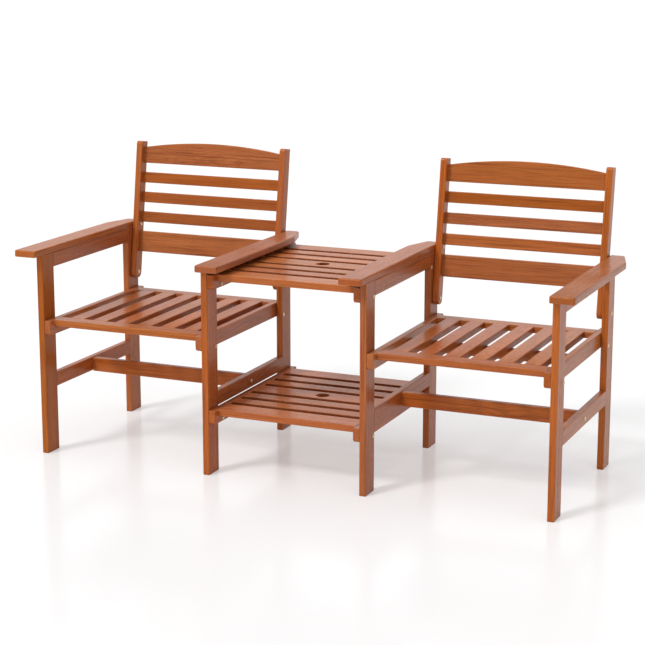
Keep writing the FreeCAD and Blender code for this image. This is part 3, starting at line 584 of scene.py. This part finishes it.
def ring_across_x(mesh, x, centre, radius, corners):
    """A ring of points about a line along X; with corners it follows a polygon."""
    ring = []
    for step in range(SEGMENTS):
        angle = 2 * math.pi * step / SEGMENTS
        reach = radius
        if corners:
            half = math.pi / corners
            reach = radius * math.cos(half) / math.cos(angle % (2 * half) - half)
        y = centre[0] + reach * math.cos(angle)
        z = centre[1] + reach * math.sin(angle)
        ring.append(mesh.verts.new((x, y, z)))
    return ring


def turn_solid(mesh, tip, inward, centre, sections, tube=False):
    """Join rings into a solid. A section is a depth from the tip, a radius and its corners."""
    rings = []
    for depth, radius, corners in sections:
        rings.append(ring_across_x(mesh, tip + inward * depth, centre, radius, corners))
    pairs = list(zip(rings, rings[1:]))
    if tube:
        pairs.append((rings[-1], rings[0]))
    else:
        mesh.faces.new(rings[0])
        mesh.faces.new(rings[-1])
    for first, second in pairs:
        for step in range(SEGMENTS):
            after = (step + 1) % SEGMENTS
            mesh.faces.new((first[step], first[after], second[after], second[step]))


def middle_of(numbers):
    return (min(numbers) + max(numbers)) / 2


def fastener(mesh, points):
    """Turn one bolt, screw or sleeve nut again, with the sizes of the plain one."""
    low = min(point.x for point in points)
    high = max(point.x for point in points)
    length = high - low
    centre = [middle_of([point[axis] for point in points]) for axis in (1, 2)]
    radii = [math.hypot(point.y - centre[0], point.z - centre[1]) for point in points]
    widest = max(radii)
    rim = [point.x for point, radius in zip(points, radii) if radius > RIM_SHARE * widest]
    head = max(rim) - min(rim)
    if head > SLEEVE_SHARE * length:
        inner = min(radii)
        sections = [(0.0, widest), (length, widest), (length, inner), (0.0, inner)]
        sections = [(*section, ROUND) for section in sections]
        turn_solid(mesh, low, 1.0, centre, sections, tube=True)
        return
    tip, inward = (low, 1.0) if min(rim) - low < SAME_POINT else (high, -1.0)
    behind = head + SAME_POINT
    body = [radius for point, radius in zip(points, radii) if abs(point.x - tip) > behind]
    shank = max(body)
    bore = min(body)
    sections = [
        (SOCKET_DEPTH, SOCKET_RADIUS, HEXAGON),
        (SOCKET_LIP, SOCKET_RADIUS, HEXAGON),
        (0.0, SOCKET_FACE, ROUND),
    ]
    sections += [(depth * head, share * widest, ROUND) for depth, share in HEAD_DOME]
    sections += [
        (head, shank, ROUND),
        (length - POINT_CHAMFER, shank, ROUND),
        (length, shank - POINT_CHAMFER, ROUND),
    ]
    if SOCKET_RADIUS < bore < BORE_SHARE * shank:
        sections += [(length, bore, ROUND), (head, bore, ROUND)]
    turn_solid(mesh, tip, inward, centre, sections)


def turn_again(node):
    mesh = bmesh.new()
    for points in solids_of(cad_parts[node]):
        fastener(mesh, points)
    bmesh.ops.recalc_face_normals(mesh, faces=mesh.faces)
    data = bpy.data.meshes.new(node + "_turned")
    mesh.to_mesh(data)
    mesh.free()
    data.shade_smooth()
    data.set_sharp_from_angle(angle=SHARP_ANGLE)
    data.materials.append(METAL)
    piece = bpy.data.objects.new(node + "_turned", data)
    bpy.context.scene.collection.objects.link(piece)
    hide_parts(node)
    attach(piece, "root")


def make_floor():
    """Glossy and nearly white; the camera, reflections and glass see it partly as plain white."""
    material, graph = new_material("studio_floor")
    path = graph.add("ShaderNodeLightPath").outputs
    seen = graph.math("MAXIMUM", path["Is Camera Ray"], path["Is Glossy Ray"])
    seen = graph.math("MAXIMUM", seen, path["Is Transmission Ray"])
    surface = {"Base Color": FLOOR_COLOUR, "Roughness": FLOOR_ROUGHNESS, "IOR": FLOOR_IOR}
    shader = graph.add("ShaderNodeBsdfPrincipled", surface)
    white = graph.add("ShaderNodeEmission", {"Color": WHITE, "Strength": 1.0})
    share = graph.times(seen, FLOOR_WHITE)
    both = graph.add("ShaderNodeMixShader", {0: share, 1: shader.outputs[0], 2: white.outputs[0]})
    graph.add("ShaderNodeOutputMaterial", {0: both.outputs[0]})
    bpy.ops.mesh.primitive_plane_add(size=FLOOR_SIZE)
    floor = bpy.context.object
    floor.name = "floor"
    floor.data.materials.append(material)


def make_lamps():
    for name, azimuth, elevation, strength, softness, mirrored in LAMPS:
        lamp = bpy.data.lights.new(name, "SUN")
        lamp.energy = strength
        lamp.angle = math.radians(softness)
        held = bpy.data.objects.new(name, lamp)
        held.visible_glossy = mirrored
        turn = math.radians(azimuth)
        up = math.radians(elevation)
        level = math.cos(up)
        away = Vector((math.sin(turn) * level, -math.cos(turn) * level, math.sin(up)))
        held.rotation_euler = away.to_track_quat("Z", "Y").to_euler()
        bpy.context.scene.collection.objects.link(held)


def make_room():
    """White where it is seen, and somewhat darker in reflections of the camera's side."""
    world = bpy.data.worlds.new("studio")
    world.use_nodes = True
    world.node_tree.nodes.clear()
    graph = Graph(world.node_tree)
    path = graph.add("ShaderNodeLightPath").outputs
    mirrored = graph.math("MAXIMUM", path["Is Glossy Ray"], path["Is Transmission Ray"])
    toward = graph.split(graph.add("ShaderNodeTexCoord").outputs["Generated"])[1]
    reflected = graph.map_range(toward, *ROOM_TURN, ROOM_BEHIND_CAMERA, 1.0, smooth=True)
    more = graph.times(mirrored, graph.minus(reflected, ROOM_STRENGTH))
    strength = graph.plus(more, ROOM_STRENGTH)
    strength = graph.math("MAXIMUM", strength, path["Is Camera Ray"])
    background = graph.add("ShaderNodeBackground", {"Color": WHITE, "Strength": strength})
    graph.add("ShaderNodeOutputWorld", {0: background.outputs[0]})
    bpy.context.scene.world = world


def make_camera():
    data = bpy.data.cameras.new("camera")
    data.lens = CAMERA_LENS
    data.sensor_width = CAMERA_SENSOR
    data.shift_x, data.shift_y = CAMERA_SHIFT
    data.clip_end = CAMERA_REACH
    camera = bpy.data.objects.new("camera", data)
    camera.location = CAMERA_PLACE
    camera.rotation_euler = (math.pi / 2 - CAMERA_PITCH, 0.0, CAMERA_YAW)
    bpy.context.scene.collection.objects.link(camera)
    bpy.context.scene.camera = camera
    bpy.context.scene.view_settings.view_transform = "Standard"


dress_nodes()
make_floor()
make_lamps()
make_room()
make_camera()
